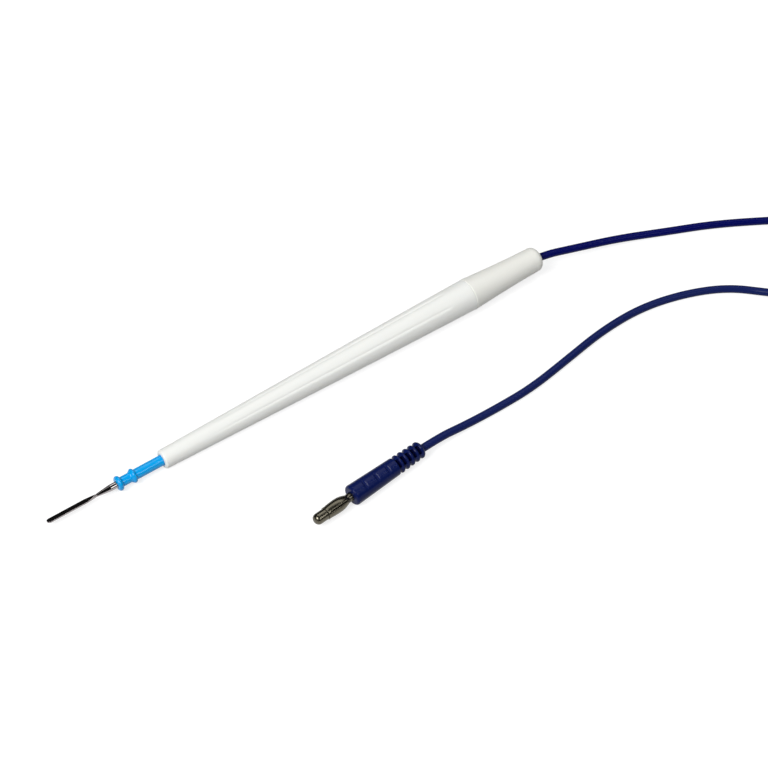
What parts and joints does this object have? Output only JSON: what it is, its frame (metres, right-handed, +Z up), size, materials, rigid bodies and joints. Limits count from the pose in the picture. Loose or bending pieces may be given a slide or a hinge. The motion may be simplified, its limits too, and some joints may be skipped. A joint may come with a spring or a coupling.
{
  "type": "electrosurgical pencil",
  "caption": "Tapered pen-shaped handle with a flat blade electrode in a blue insulating hub, a thin cable and a banana plug.",
  "frame": {"origin": "on the table under the middle of the pencil's bounding box, cable and plug not counted", "axes": "+X along the pencil from the blade to the cable, +Z up from the table that it lies on"},
  "size_m": [0.3239, 0.1034, 0.012],
  "materials": {
    "handle_white": "fine satin moulding",
    "cap_white": "fine satin moulding, slightly warmer",
    "blade_steel": "polished stainless steel",
    "hub_blue": "smooth moulding",
    "socket_brass": "turned",
    "ring_steel": "spring wire",
    "carrier_plastic": "turned insulator",
    "copper_strand": "tinned copper strand",
    "cable_blue": "smooth silicone",
    "clamp_brass": "plated",
    "plug_blue": "satin moulding",
    "pin_nickel": "nickel plate",
    "spring_nickel": "nickel plate"
  },
  "bodies": {
    "handle": {"handle_barrel": "handle_white", "rear_cap": "cap_white", "contact_socket": "socket_brass", "collet_ring": "ring_steel", "socket_carrier": "carrier_plastic", "front_conductor": "copper_strand", "rear_conductor": "copper_strand", "inner_cable": "cable_blue", "cord_lead": "cable_blue", "cord_coil": "cable_blue", "cord_tail": "cable_blue", "cord_clamp": "clamp_brass", "plug_body": "plug_blue", "plug_pin": "pin_nickel"},
    "hub": {"electrode_hub": "hub_blue"},
    "electrode": {"electrode_pin": "blade_steel"},
    "spring_cage": {"plug_spring_cage": "spring_nickel"}
  },
  "joints": [
    {"name": "electrode_pull", "type": "slide", "parent": "handle", "child": "hub", "axis": [-0.9998, 0, -0.021], "range_m": [0, 0.02]},
    {"name": "electrode_turn", "type": "hinge", "parent": "hub", "child": "electrode", "pos_m": [-0.05679, 0, 0.00341], "axis": [0.9998, 0, 0.021], "continuous": true},
    {"name": "spring_cage_turn", "type": "hinge", "parent": "handle", "child": "spring_cage", "pos_m": [-0.01996, -0.05005, 0.00375], "axis": [0.9942, 0.108, 0], "continuous": true}
  ]
}
